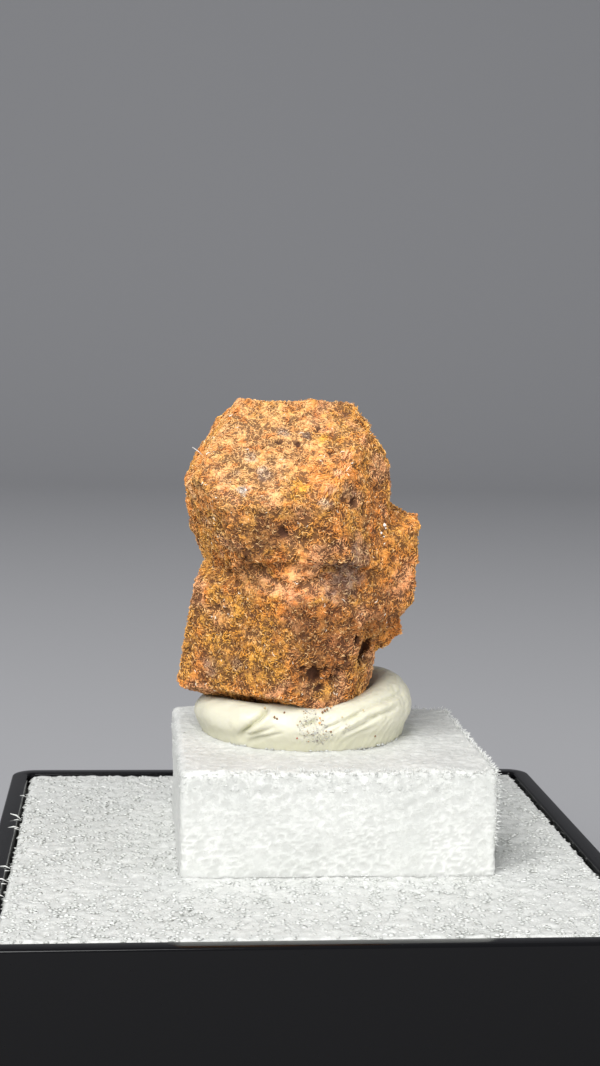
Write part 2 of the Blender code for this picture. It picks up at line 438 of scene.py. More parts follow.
block_low, block_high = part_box("foam_block")
copies = []
while len(copies) < LINER_CRUMBS:
    place = Vector((picker.uniform(-half, half), picker.uniform(-half, half), liner_high.z - CRUMB_SINKS))
    covered = block_low.x < place.x < block_high.x and block_low.y < place.y < block_high.y
    inside = half - max(abs(place.x), abs(place.y))
    if not covered:
        place.z -= LINER_EDGE * (1 - eased(inside, 0.0, LINER_EDGE)) ** 2
        copies.append(foam_crumb(place, CRUMB_SIZES))
for foot, length, lean in LINER_THREADS:
    copies.append(foam_thread(Vector((-half + THREAD_ROOT, foot, liner_high.z)), length, lean))
white_crumbs = foam_crumbs()
laid("liner_crumbs", "white_foam", white_crumbs, copies)


# The block is cut by hand from the same foam. Its sides show the cut cells as shallow cups with bright
# rims, larger near the bottom. Its top is torn to fine crumbs, with short bristles of foam along its edges.
BLOCK_STEP = 0.0001
BLOCK_EDGE = 0.0003
# The cells are this wide at the foot and this much narrower at the top.
BLOCK_CELL = 0.00066
BLOCK_CELL_NARROWS = 0.0003
CELL_WALL = 0.28
CELL_BEND = 0.0002
CELL_BEND_SIZE = 0.0008
CUP_DEPTH = 0.000035
CUP_PATCH = 0.0018
BULGE_SIZE = 0.0022
BULGE_DEPTH = 0.00009
ROUGH_SIZE = 0.0004
ROUGH_DEPTH = 0.00005
BLOCK_DRAWN_IN = 0.00002
BLOCK_SINKS = 0.00022
BLOCK_LIFT = 0.00016
BLOCK_CRUMBS = 5600
BLOCK_CRUMB_SIZES = (0.00008, 0.00026)
BLOCK_CRUMB_SINKS = 0.00002
FOOT_CRUMBS = 500
FOOT_BAND = 0.0001
BLOCK_BRISTLES = 1000
BRISTLE_LENGTHS = (0.00012, 0.00034)
BRISTLES_FROM_LEFT = 0.002

bm = bmesh.new()
bmesh.ops.create_cube(bm, size=1.0)
block_low.z -= BLOCK_SINKS
bmesh.ops.scale(bm, vec=block_high - block_low, verts=bm.verts)
bmesh.ops.translate(bm, vec=(block_low + block_high) / 2, verts=bm.verts)
cut_edges = [edge for edge in bm.edges if max(vert.co.z for vert in edge.verts) > block_low.z + 0.001]
bmesh.ops.bevel(
    bm, geom=cut_edges, offset=BLOCK_EDGE, segments=3, profile=0.5, affect="EDGES", material=-1
)


def cell_wall(point, size):
    """1 on the wall between two foam cells of this size, and 0 well inside one."""
    near, next_near = noise.voronoi(point / size)[0][:2]
    return 1 - eased(next_near - near, 0.0, CELL_WALL)


def remeshed(bm, voxel, smoothing):
    """The same shape as an even net of small faces, smoothed this many times."""
    mesh = bpy.data.meshes.new("coarse")
    bm.to_mesh(mesh)
    bm.free()
    shape = bpy.data.objects.new("coarse", mesh)
    bpy.context.scene.collection.objects.link(shape)
    net = shape.modifiers.new("net", "REMESH")
    net.mode = "VOXEL"
    net.voxel_size = voxel
    even = shape.modifiers.new("even", "SMOOTH")
    even.iterations = smoothing
    fine = bmesh.new()
    fine.from_object(shape, bpy.context.evaluated_depsgraph_get())
    bpy.data.objects.remove(shape, do_unlink=True)
    fine.normal_update()
    return fine


bm = remeshed(bm, BLOCK_STEP, 3)
plain = mark(bm, "plain")
rim = mark(bm, "rim")
torn, cut_edge, foot = [], [], []
for vert in bm.verts:
    level = (vert.co.z - block_low.z) / (block_high.z - block_low.z)
    size = BLOCK_CELL - BLOCK_CELL_NARROWS * level
    upright = 1 - abs(vert.normal.z)
    wall = cell_wall(vert.co + CELL_BEND * noise.noise_vector(vert.co / CELL_BEND_SIZE), size)
    patchy = eased(noise.noise(vert.co / CUP_PATCH), -0.5, 0.1)
    cup = upright * (1 - eased(level, 0.35, 0.85)) * (0.35 + 0.65 * patchy)
    vert[rim] = cup * wall
    vert[plain] = 1 - cup
    bulge = BULGE_DEPTH * noise.noise(vert.co / BULGE_SIZE)
    rough = ROUGH_DEPTH * (1 - cup) * noise.noise(vert.co / ROUGH_SIZE)
    lift = BLOCK_LIFT * eased(level, 0.5, 1.0) * eased(vert.co.y - vert.co.x, -0.001, 0.013)
    vert.co -= vert.normal * (CUP_DEPTH * cup * (1 - wall) - bulge - rough + BLOCK_DRAWN_IN)
    vert.co.z += lift
    if vert.normal.z > 0.25 or (upright > 0.7 and level > 0.8):
        torn.append(vert)
    side_edge = abs(vert.normal.x) > 0.3 and abs(vert.normal.y) > 0.3
    torn_edge = 0.25 < vert.normal.z < 0.95 or (side_edge and level > 0.3)
    if vert.co.x > block_low.x + BRISTLES_FROM_LEFT and torn_edge:
        cut_edge.append(vert)
    if upright > 0.7 and 0 < vert.co.z - liner_high.z < FOOT_BAND:
        foot.append(vert)
copies = []
for vert in picker.choices(torn, k=BLOCK_CRUMBS) + picker.choices(foot, k=FOOT_CRUMBS):
    copies.append(foam_crumb(vert.co - vert.normal * BLOCK_CRUMB_SINKS, BLOCK_CRUMB_SIZES))
for vert in picker.choices(cut_edge, k=BLOCK_BRISTLES):
    stray = Vector([picker.uniform(-0.8, 0.8) for _ in range(3)])
    copies.append(foam_thread(vert.co.copy(), picker.uniform(*BRISTLE_LENGTHS), vert.normal + stray))
block = finished(bm, "block", "white_foam", foam, "foam_block")
laid("block_crumbs", "white_foam", white_crumbs, copies)


# The tack is a roll of white mineral tack, kneaded and bent into a ring by hand. The cluster's foot is
# pressed into it, so it stands up round the stone. Its front is folded, dented and smudged by fingers.
MM = 0.001
TACK_ROLL = 0.00115
TACK_FOOT_ROLL = 0.6
TACK_HOLE_ROLL = 1.3
TACK_HEIGHTS = {"front": 0.0020, "right": 0.0029, "back": 0.0024, "left": 0.0018}
TACK_MIDDLE_SHARE = 0.55
TACK_STEPS = 96
TACK_STEP = 0.00007
TACK_SINKS = 0.00022
TACK_FOOT = 0.0006
TACK_DRAWN_IN = 0.00004
# Lumps, kneading and streaks: how wide they are, and how far they go in and out.
TACK_LUMPS = ((0.0016, 0.00009), (0.0006, 0.00003))
TACK_KNEADING = (0.0006, 0.00002)
TACK_STREAKS = (0.00035, 0.00006)
TACK_SHADE_REACH = 0.0011
TACK_SHADED_FOLDS = (0.00005, 0.00022)
TACK_CRUMBS = 220
TACK_CRUMB_BAND = 0.00012
TACK_CRUMB_STRAYS = (0.0003, 0.0001)
TACK_WHITE = (0.60, 0.58, 0.46)
TACK_SHADE = (0.45, 0.44, 0.28)
TACK_SMUDGE = (0.33, 0.33, 0.33)
TACK_SCATTER = (0.0005, 0.0005, 0.0003)
TACK_SMUDGE_GRAIN = 0.00016
TACK_DIMPLES = 0.0003
TACK_DIMPLE_DEPTH = 0.000025
# Folds seen from the front: two ends, each to the right and up, width and depth in millimetres. A negative
# depth is a ridge.
TACK_FOLDS = (
    ("left fold, upper half", (-2.35, 14.1), (-1.6, 14.85), 0.16, 0.26),
    ("left fold, lower half", (-2.9, 13.35), (-2.35, 14.1), 0.16, 0.26),
    ("lobe left of it", (-3.3, 13.7), (-2.6, 14.5), 0.40, -0.12),
    ("ridge right of it", (-2.55, 13.45), (-1.4, 14.6), 0.20, -0.12),
    ("lower left crease", (-2.9, 13.25), (-1.4, 13.95), 0.11, 0.12),
    ("lowest left crease", (-2.45, 13.15), (-1.0, 13.72), 0.10, 0.10),
    ("pinched middle", (-0.3, 14.35), (0.9, 14.3), 0.40, 0.12),
    ("crease in the pinch", (-0.2, 14.0), (0.7, 14.5), 0.10, 0.09),
    ("low middle crease", (-0.3, 13.6), (0.6, 13.5), 0.12, 0.05),
    ("middle fold", (0.9, 13.9), (2.0, 14.35), 0.11, 0.12),
    ("middle fold, far end", (2.0, 14.35), (2.7, 14.65), 0.11, 0.12),
    ("right fold", (1.4, 13.8), (2.85, 14.7), 0.12, 0.10),
    ("second right fold", (2.0, 13.65), (3.65, 14.35), 0.12, 0.11),
    ("ridge between them", (1.75, 13.9), (3.1, 14.5), 0.16, -0.07),
    ("top right fold", (2.85, 14.75), (3.7, 15.0), 0.14, 0.12),
    ("top right fold, far end", (3.7, 15.0), (5.2, 15.15), 0.14, 0.12),
    ("right side crease", (3.1, 14.3), (4.7, 14.55), 0.12, 0.11),
    ("ridge under the top fold", (3.2, 14.6), (4.8, 14.85), 0.2, -0.08),
    ("low right crease", (2.2, 13.4), (3.6, 13.85), 0.12, 0.08),
)
# A fold is felt out to this many of its widths, and is this much shallower at its ends.
FOLD_REACH = 2.5
FOLD_TAPER = 0.6
# Smudges: middle and radius in millimetres, and strength.
TACK_SMUDGES = (
    ("grey middle", (0.45, -1.9, 14.0), 0.8, 0.6),
    ("grey above", (0.3, -1.5, 14.65), 0.4, 0.45),
    ("grey below", (0.9, -1.9, 13.6), 0.6, 0.45),
    ("grey at the right", (2.0, -1.6, 13.9), 0.5, 0.25),
)


def tack_height(angle):
    """How high the ring's roll stands at this angle, where 0 is the right and 90 degrees the back."""
    sides = (
        (TACK_HEIGHTS["right"], max(math.cos(angle), 0.0)),
        (TACK_HEIGHTS["left"], max(-math.cos(angle), 0.0)),
        (TACK_HEIGHTS["back"], max(math.sin(angle), 0.0)),
        (TACK_HEIGHTS["front"], max(-math.sin(angle), 0.0)),
    )
    return sum(height * share**2 for height, share in sides)


def fold_depth(place):
    """How far the folds push the front of the tack in here, in millimetres."""
    pushed = 0.0
    for _, start, end, width, depth in TACK_FOLDS:
        line = Vector(end) - Vector(start)
        from_start = place.xz - Vector(start)
        along = min(max(from_start.dot(line) / line.length_squared, 0.0), 1.0)
        away = (from_start - line * along).length / width
        if away < FOLD_REACH:
            pushed += depth * math.exp(-away * away * 1.6) * (1 - FOLD_TAPER * abs(2 * along - 1) ** 3)
    return pushed


def white_tack():
    look = Look(
        "white_tack",
        Roughness=0.42,
        Subsurface_Weight=0.3,
        Subsurface_Radius=TACK_SCATTER,
        Subsurface_Scale=1.0,
        Specular_IOR_Level=0.4,
    )
    # The shade mark mixes in painted shade in the folds, and a darker, greener tint towards the foot.
    colour = look.mixed(look.attribute("shade"), TACK_WHITE, TACK_SHADE)
    specks = look.noise(TACK_SMUDGE_GRAIN, detail=4.0, roughness=0.7, distortion=1.5)
    smudge = look.maths("MULTIPLY", look.attribute("smudge"), look.between(specks, 0.48, 0.60))
    look.wear(
        Base_Color=look.mixed(smudge, colour, TACK_SMUDGE),
        Normal=look.bump(look.noise(TACK_DIMPLES, detail=4.0), TACK_DIMPLE_DEPTH),
    )
    return look.material


tack_low, tack_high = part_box("tack_ring")
tack_middle = (tack_low + tack_high) / 2
reach = (tack_high - tack_low) / 2
ring = reach.x - TACK_ROLL
bm = bmesh.new()
arc = [math.radians(angle) for angle in range(-40, 181, 10)]
outline = [(0.0, 0.0), (ring + TACK_FOOT_ROLL * TACK_ROLL, 0.0)]
outline += [(ring + TACK_ROLL * math.cos(turn), (1 + math.sin(turn)) / 2) for turn in arc]
outline += [(ring - TACK_HOLE_ROLL * TACK_ROLL, TACK_MIDDLE_SHARE), (0.0, TACK_MIDDLE_SHARE)]
profile = [bm.verts.new((radius, 0.0, share)) for radius, share in outline]
edges = [bm.edges.new(pair) for pair in zip(profile, profile[1:])]
bmesh.ops.spin(
    bm,
    geom=profile + edges,
    axis=(0, 0, 1),
    cent=(0, 0, 0),
    angle=math.tau,
    steps=TACK_STEPS,
    use_merge=True,
)
bmesh.ops.remove_doubles(bm, verts=bm.verts, dist=1e-6)
for vert in bm.verts:
    angle = math.atan2(vert.co.y, vert.co.x)
    vert.co.x = tack_middle.x + vert.co.x
    vert.co.y = tack_middle.y + vert.co.y * reach.y / reach.x
    vert.co.z = tack_low.z + vert.co.z * tack_height(angle)
bmesh.ops.recalc_face_normals(bm, faces=bm.faces)
bm = remeshed(bm, TACK_STEP, 4)
smudge = mark(bm, "smudge")
shade = mark(bm, "shade")
smudged, tack_foot = [], []
kneading_size, kneading_depth = TACK_KNEADING
streak_size, streak_depth = TACK_STREAKS
stray_size, stray_depth = TACK_CRUMB_STRAYS
for vert in bm.verts:
    place = vert.co / MM
    stained = 0.0
    for _, middle, radius, strength in TACK_SMUDGES:
        away = (place - Vector(middle)).length / radius
        stained = max(stained, strength * (1 - eased(away, 0.3, 1.3)))
    vert[smudge] = stained
    lumps = sum(depth * noise.noise(vert.co / size) for size, depth in TACK_LUMPS)
    kneaded = kneading_depth * noise.turbulence(vert.co / kneading_size, 3, True)
    drawn_out = Vector((place.x - place.z, place.y, 0.25 * (place.x + place.z))) * MM
    front = eased(-vert.normal.y, 0.0, 0.4)
    streak = streak_depth * abs(noise.noise(drawn_out / streak_size))
    kneaded += front * eased(place.x, -1.0, 1.0) * streak
    inward = fold_depth(place) * MM * front
    # The shade mark is painted shade in the deeper folds. It also makes the tack darker and greener towards
    # its foot.
    low = 0.35 * (1 - eased(vert.co.z, tack_low.z, tack_low.z + TACK_SHADE_REACH))
    vert[shade] = max(low, 0.8 * eased(inward, *TACK_SHADED_FOLDS))
    vert.co += vert.normal * (lumps - kneaded - inward - TACK_DRAWN_IN)
    vert.co.z -= TACK_SINKS * (1 - eased(vert.co.z, tack_low.z, tack_low.z + TACK_FOOT))
    if stained > 0.2 and vert.co.y < tack_middle.y:
        smudged.append((vert.co.copy(), vert.normal.copy()))
    if vert.normal.z < 0.3 and 0 < vert.co.z - block_high.z < TACK_CRUMB_BAND:
        stray = stray_depth * abs(noise.noise(vert.co / stray_size))
        tack_foot.append(vert.co + vert.normal * (TACK_DRAWN_IN + stray))
tack = finished(bm, "tack", "white_tack", white_tack(), "tack_ring")
copies = [foam_crumb(place, BLOCK_CRUMB_SIZES) for place in picker.choices(tack_foot, k=TACK_CRUMBS)]
laid("tack_foot_crumbs", "white_foam", white_crumbs, copies)


# The cluster is a group of rhombic dodecahedra of andradite garnet, grown into each other. It is one natural
# stone, coated with a thin crust of rust that has worn edges and small open pits.
CRYSTAL_STOCK = 5
# Centre, turn in degrees, reach, and the faces that stand nearer or farther, in millimetres.
CRYSTALS = {
    "upper": ((-0.2, 2.6, 23.3), (36, 11, 45), 5.25, {
        (-1, -1, 0): 5.6,
        (-1, 1, 0): 5.6,
        (-1, 1, -1): 5.1,
        (-1, 0, -1): 4.5,
        (0, -1, -1): 2.8,
        (0, 1, -1): 4.0,
        (1, -1, 0): 4.7,
        (1, 0, 1): 4.2,
        (1, -1, 1): 4.6,
    }),
    "lower": ((-0.4, 2.4, 17.8), (-25, -30, 6), 4.5, {
        (-1, 0, -1): 3.8,
        (-1, -1, 0): 3.8,
        (0, 1, -1): 2.7,
        (1, 0, -1): 3.7,
        (1, -1, 0): 5.28,
        (-1, 0, 1): 4.8,
        (0, -1, 1): 4.43,
        (0, -2, 1): 5.0,
    }),
    "right": ((3.0, 1.4, 20.7), (38, -34, -22), 3.1, {
        (1, 0, -1): 2.3,
        (1, -1, 0): 2.6,
        (0, -1, -1): 2.5,
        (1, 1, 0): 3.5,
        (0, -1, 1): 4.1,
    }),
    "ledge": ((-0.9, 0.4, 20.8), (-10, 10, 35), 2.3, {
        (-1, 0, -1): 1.9,
    }),
    "shelf": ((-0.9, 0.4, 20.8), (-10, 10, 35), 2.3, {
        (-1, 0, -1): 1.6,
        (-1, -1, 0): 2.8,
    }),
    "bud": ((0.0, -2.0, 24.0), (20, -10, 30), 1.3, {}),
    "foot": ((2.0, 0.7, 16.3), (-9, -31, -23), 1.6, {
        (1, 0, -1): 1.3,
    }),
    "knuckle": ((3.0, 0.9, 18.9), (-43, 22, -17), 1.6, {
        (0, -1, 1): 2.2,
    }),
    "back": ((0.6, 5.4, 19.3), (15, 25, -10), 2.5, {
        (0, 1, 1): 2.1,
        (1, 1, 0): 2.9,
    }),
}
CRUST_STEP = 0.000092
CRUST_SMOOTHING = 9
SWELLING = 0.00011
SWELLING_SIZE = 0.0013
GRAIN = 0.00009
GRAIN_SIZE = 0.0005
RIDGES_STAND = 0.00005

OCHRE = (0.84, 0.42, 0.085)
ORANGE = (0.86, 0.34, 0.07)
YELLOW = (0.84, 0.43, 0.05)
SAND = (0.84, 0.50, 0.215)
PINK = (0.88, 0.46, 0.25)
RUST = (0.48, 0.17, 0.045)
BROWN = (0.30, 0.13, 0.045)
DARK = (0.05, 0.02, 0.012)
GREY = (0.27, 0.20, 0.17)
PALE_PINK_WITH_PAINTED_HIGHLIGHT = (0.84, 0.52, 0.35)
APRICOT_WITH_PAINTED_LIGHT = (0.93, 0.48, 0.23)
EMBER = (0.70, 0.24, 0.05)
LILAC = (0.52, 0.46, 0.40)
RED = (0.45, 0.06, 0.03)
SPECK_DARK = (0.07, 0.025, 0.012)
# How wide the spots of each kind are, and the rags along the edges of patches and pits.
WARM_SPOTS = 0.0010
PINK_SPOTS = 0.0011
DULL_SPOTS = 0.0006
WORN_SPOTS = 0.00024
EMBER_SPOTS = 0.00033
PATCH_RAGS = 0.0004
PIT_RAGS = 0.00028
SPECK_SIZE = 0.00014
SPECK_DEPTH = 0.00006

# Where the crust is cleaner, on the sandy face and the ledge: middle and radius in millimetres.
CLEAN_SPOTS = (((-1.8, -0.9, 26.8), 4.6), ((-0.6, -2.2, 21.0), 2.3), ((4.2, -0.6, 21.5), 1.6))
# Patches of colour on the crust: colour, middle and radius in millimetres, and strength.
PATCHES = (
    ("sandy top face", SAND, (-2.0, -0.9, 26.8), 4.4, 0.8),
    ("orange right of the top face", ORANGE, (0.5, -2.3, 25.8), 1.7, 0.5),
    ("yellow spot on the top face", YELLOW, (-0.65, -2.83, 25.2), 0.7, 0.8),
    ("yellow spot at the right", YELLOW, (0.8, -0.8, 27.5), 0.45, 0.9),
    ("pale spot", LILAC, (-2.97, -2.54, 25.14), 0.35, 0.9),
    ("grey spot at the left", GREY, (-3.4, -1.8, 25.8), 0.35, 0.55),
    ("grey spot near the left", LILAC, (-2.68, -1.16, 26.6), 0.4, 0.55),
    ("grey spot in the middle", LILAC, (-2.1, -2.0, 25.8), 0.4, 0.55),
    ("grey spot at the back", LILAC, (-1.1, -0.4, 27.6), 0.4, 0.6),
    ("dark spot at the back", GREY, (0.02, -0.7, 27.5), 0.3, 0.8),
    # Along the top crystal's edge: pale pink and lilac crust, with a painted highlight on the edge.
    ("pale edge", PALE_PINK_WITH_PAINTED_HIGHLIGHT, (0.9, -3.1, 25.2), 0.32, 0.6),
    ("pale edge, middle", PALE_PINK_WITH_PAINTED_HIGHLIGHT, (1.3, -2.5, 25.9), 0.32, 0.6),
    ("pale edge, upper end", PALE_PINK_WITH_PAINTED_HIGHLIGHT, (1.8, -1.8, 26.7), 0.3, 0.5),
    ("lilac corner", LILAC, (0.6, -3.5, 24.65), 0.4, 0.8),
    ("grey right front", GREY, (1.8, -2.6, 25.1), 0.6, 0.55),
    ("red notch", RED, (3.0, -1.75, 23.2), 0.35, 0.6),
    ("brown under the top crystal", BROWN, (-1.9, -2.9, 23.2), 1.3, 0.7),
    ("dark brown under its edge", BROWN, (-2.7, -2.6, 22.4), 1.2, 0.5),
    ("bare grey garnet", GREY, (1.5, -2.5, 21.0), 1.4, 0.85),
    ("bare grey garnet, right", GREY, (2.3, -2.5, 22.1), 0.9, 0.7),
    ("bluish spot", DARK, (1.76, -3.1, 21.9), 0.35, 0.7),
    # The ledge is pink crust, painted lighter to offset the shadow that the top crystal casts on it.
    ("pink ledge", APRICOT_WITH_PAINTED_LIGHT, (-0.2, -2.4, 20.9), 1.4, 0.7),
    ("pink ledge, left", APRICOT_WITH_PAINTED_LIGHT, (-2.4, -1.0, 20.9), 1.3, 0.6),
    ("brown below the ledge", BROWN, (-0.4, -2.9, 19.5), 1.1, 0.75),
    ("ochre lower left face", YELLOW, (-2.8, -0.7, 18.0), 3.0, 0.5),
    ("rusty lower right face", RUST, (0.9, -2.0, 18.2), 2.4, 0.7),
    ("grey spot, low", GREY, (-4.4, 1.0, 16.4), 0.7, 0.75),
    ("grey spot, low middle", GREY, (-3.1, -0.1, 16.7), 0.45, 0.65),
    ("orange right crystal", ORANGE, (4.2, -0.9, 21.5), 1.9, 0.45),
    ("pink right edge", PINK, (4.8, -0.5, 20.8), 1.0, 0.6),
    ("rusty right foot", RUST, (3.7, -1.0, 18.8), 1.8, 0.6),
)
# Worn corners: middle, radius and depth, in millimetres.
WORN = (
    ("top, at the back right", (3.1, -0.1, 28.5), 2.0, 0.36),
    ("tip of the knuckle", (4.4, -0.2, 18.2), 1.0, 0.30),
)
# Open pits in the crust, with the creases and the recess under the overhang set as pits: middle, radius and
# depth, in millimetres. Each is cut in and painted dark as painted shade.
PITS = (
    ("black pit", (0.53, -1.8, 16.44), 0.55, 0.45),
    ("black pit, right", (1.3, -1.55, 16.2), 0.35, 0.35),
    ("black pit, left", (-0.1, -2.1, 16.8), 0.22, 0.2),
    ("black pit, upper right", (1.55, -1.6, 16.65), 0.25, 0.25),
    ("black pit, low", (0.75, -1.5, 15.8), 0.28, 0.2),
    ("over the overhang", (2.5, -1.7, 18.0), 0.28, 0.25),
    ("lower right face", (1.95, -1.65, 17.2), 0.22, 0.2),
    ("under the overhang", (2.89, -0.38, 17.32), 0.6, 0.5),
    ("slit left of the ledge", (-2.91, -2.3, 21.75), 0.3, 0.25),
    ("slit beside it", (-3.5, -0.4, 21.4), 0.25, 0.2),
    ("slit over the ledge", (-1.3, -1.9, 21.6), 0.22, 0.15),
    ("under the top crystal", (-1.35, -3.09, 23.22), 0.3, 0.2),
    ("top, left", (-2.07, -0.87, 27.0), 0.16, 0.12),
    ("top, middle", (-1.37, -0.75, 27.23), 0.22, 0.14),
    ("top, right", (-0.51, -0.96, 27.17), 0.18, 0.12),
    ("top, back", (0.55, -0.43, 27.89), 0.18, 0.12),
    ("top, far right", (0.97, -1.52, 26.85), 0.2, 0.14),
    ("right front", (2.06, -2.45, 24.65), 0.28, 0.25),
    ("right front, low", (2.48, -2.08, 24.26), 0.25, 0.2),
)


def crystal(centre, turn, reach, nearer_or_farther):
    """Stock cut by the faces of a rhombic dodecahedron, each at its own distance from the centre."""
    bm = bmesh.new()
    bmesh.ops.create_cube(bm, size=CRYSTAL_STOCK * reach)
    directions = itertools.product((-1, 0, 1), repeat=3)
    dodecahedron = [way for way in directions if sum(map(abs, way)) == 2]
    distances = dict.fromkeys(dodecahedron, reach) | nearer_or_farther
    for way, distance in distances.items():
        normal = Vector(way).normalized()
        cut = bmesh.ops.bisect_plane(
            bm,
            geom=bm.verts[:] + bm.edges[:] + bm.faces[:],
            plane_co=normal * distance,
            plane_no=normal,
            clear_outer=True,
        )
        bmesh.ops.edgeloop_fill(bm, edges=parts_of({"geom": cut["geom_cut"]}, bmesh.types.BMEdge))
    turned = Euler([math.radians(angle) for angle in turn]).to_matrix().to_4x4()
    placed = Matrix.Translation(Vector(centre) * MM) @ turned @ Matrix.Scale(MM, 4)
    bmesh.ops.transform(bm, matrix=placed, verts=bm.verts)
    bmesh.ops.recalc_face_normals(bm, faces=bm.faces)
    return bm


def crust_colour(place):
    """The colour of the crust here, with the named patches over its spots, and how clean it is."""
    warm = noise.noise(place / WARM_SPOTS)
    pink = noise.noise(place / PINK_SPOTS + Vector((9, 2, 5)))
    dull = noise.noise(place / DULL_SPOTS)
    worn = noise.noise(place / WORN_SPOTS + Vector((3, 8, 1)))
    ember = noise.noise(place / EMBER_SPOTS)
    rags = noise.noise(place / PATCH_RAGS) * 0.55
    aways = [(place / MM - Vector(middle)).length / radius for middle, radius in CLEAN_SPOTS]
    clean = 1 - eased(min(aways), 0.6, 1.05)
    colour = blended(OCHRE, ORANGE, eased(warm, -0.3, 0.35))
    colour = blended(colour, PINK, 0.7 * eased(pink, 0.1, 0.4))
    for _, shade, middle, radius, strength in PATCHES:
        away = (place / MM - Vector(middle)).length / radius
        if away < 1.6:
            colour = blended(colour, shade, strength * (1 - eased(away + rags, 0.4, 1.1)))
    colour = blended(colour, EMBER, 0.75 * clean * eased(ember, 0.22, 0.42))
    colour = blended(colour, BROWN, (0.6 - 0.5 * clean) * eased(dull, 0.15, 0.45))
    return blended(colour, BROWN, (0.85 - 0.65 * clean) * eased(worn, 0.25, 0.5)), clean


def pit_depth(place):
    """How far a pit goes in here, in metres, and how much painted shade it gets."""
    deepest, darkest = 0.0, 0.0
    for _, middle, radius, depth in PITS:
        away = (place / MM - Vector(middle)).length / radius
        if away < 1.5:
            share = 1 - eased(away + 0.6 * noise.noise(place / PIT_RAGS), 0.35, 1.1)
            deepest = max(deepest, depth * MM * share)
            darkest = max(darkest, share)
    return deepest, darkest


def wear_depth(place):
    """How far the stone is worn back here, in metres."""
    worn = 0.0
    for _, middle, radius, depth in WORN:
        away = (place / MM - Vector(middle)).length / radius
        worn += depth * MM * (1 - eased(away, 0.2, 1.0))
    return worn


def rusty_garnet():
    look = Look("rusty_garnet", Roughness=0.8, Specular_IOR_Level=0.3)
    tint = look.attribute("tint", "Color")
    speck = look.noise(SPECK_SIZE, detail=3.0, roughness=0.65, distortion=0.6)
    # Dark specks where the crust is low. The pits' lower height adds to their painted shade.
    pit = look.between(look.maths("ADD", speck, look.attribute("height")), 0.52, 0.30)
    colour = look.mixed(look.maths("MULTIPLY", pit, 0.85), tint, SPECK_DARK)
    look.wear(Base_Color=colour, Normal=look.bump(speck, SPECK_DEPTH))
    return look.material


cluster = bmesh.new()
for row in CRYSTALS.values():
    single = crystal(*row)
    shape = bpy.data.meshes.new("crystal")
    single.to_mesh(shape)
    single.free()
    cluster.from_mesh(shape)
    bpy.data.meshes.remove(shape)
bm = remeshed(cluster, CRUST_STEP, CRUST_SMOOTHING)
height = mark(bm, "height")
tint = bm.verts.layers.float_color.new("tint")
crust = []
for vert in bm.verts:
    place = vert.co.copy()
    swelling = noise.fractal(place / SWELLING_SIZE, 1.0, 2.0, 2)
    grain = noise.turbulence(place / GRAIN_SIZE, 3, False)
    depth, painted_pit_shade = pit_depth(place)
    plain_colour, clean = crust_colour(place)
    # The pits are painted dark: painted shade in the holes, in the creases and under the overhangs.
    colour = blended(plain_colour, DARK, 0.9 * painted_pit_shade)
    vert[height] = 0.35 * (grain - 0.5) - 0.3 * painted_pit_shade + 0.03 * clean
    vert[tint] = (*blended(colour, BROWN, 0.25 * (1 - clean)), 1.0)
    outward = SWELLING * swelling + GRAIN * (grain - 0.5)
    vert.co += vert.normal * (outward - depth - wear_depth(place) - RIDGES_STAND)
    crust.append((vert, colour, painted_pit_shade, clean))
bm.normal_update()
crust = [(vert.co.copy(), vert.normal.copy(), *shades) for vert, *shades in crust]
garnet = finished(bm, "garnet", "rusty_garnet", rusty_garnet(), "garnet_cluster")


# The crust is a felt of tiny curled ridges of iron oxide, about a fifth of a millimetre long, that stand on
# the stone. They are a few bent bars, thin at both ends, laid over the crust in every direction.
RIDGE_BENDS = (30, 70, 110, 150)
RIDGE_LENGTHS = (0.00014, 0.00029)
RIDGE_SHIFT = 0.00004
RIDGES_IN_A_PIECE = 12300
RIDGE_PIECES = 5
RIDGE_TILT = 0.3
LOWEST_RIDGE = tack_low.z + 0.0009
DARKEST_WITH_RIDGES = 0.7
# Shares of the ridges: painted glints, lighter than the crust with the painted glints counted in, and
# browner.
PAINTED_GLINT_RIDGES = 0.007
LIGHT_RIDGES = 0.22
BROWN_RIDGES = 0.33
PAINTED_GLINT = (0.95, 0.84, 0.68)
LIGHT_RIDGE = (0.95, 0.66, 0.32)
# Along the pale edge of the top crystal the ridges are long and lie side by side. Ends in millimetres.
STREAK_ENDS = ((0.6, -3.5, 24.7), (2.1, -1.5, 27.1))
STREAK_REACH = 0.22
STREAK_LENGTH = 0.00045
STREAK_WANDER = 0.2


def crust_ridges():
    look = Look("crust_ridges", Roughness=0.65, Specular_IOR_Level=0.4)
    look.wear(Base_Color=look.attribute("tint", "Color"))
    return look.material


ridges = [pattern_of(bent_bar(bend, BAR_GIRTH)) for bend in RIDGE_BENDS]
open_crust = [row for row in crust if row[0].z > LOWEST_RIDGE and row[3] < DARKEST_WITH_RIDGES]
chosen = picker.choices(open_crust, k=RIDGES_IN_A_PIECE * RIDGE_PIECES)
chosen.sort(key=lambda row: row[0].z)
streak_start, streak_end = (Vector(point) for point in STREAK_ENDS)
streak = (streak_end - streak_start).normalized()
streak_far = (streak_end - streak_start).length


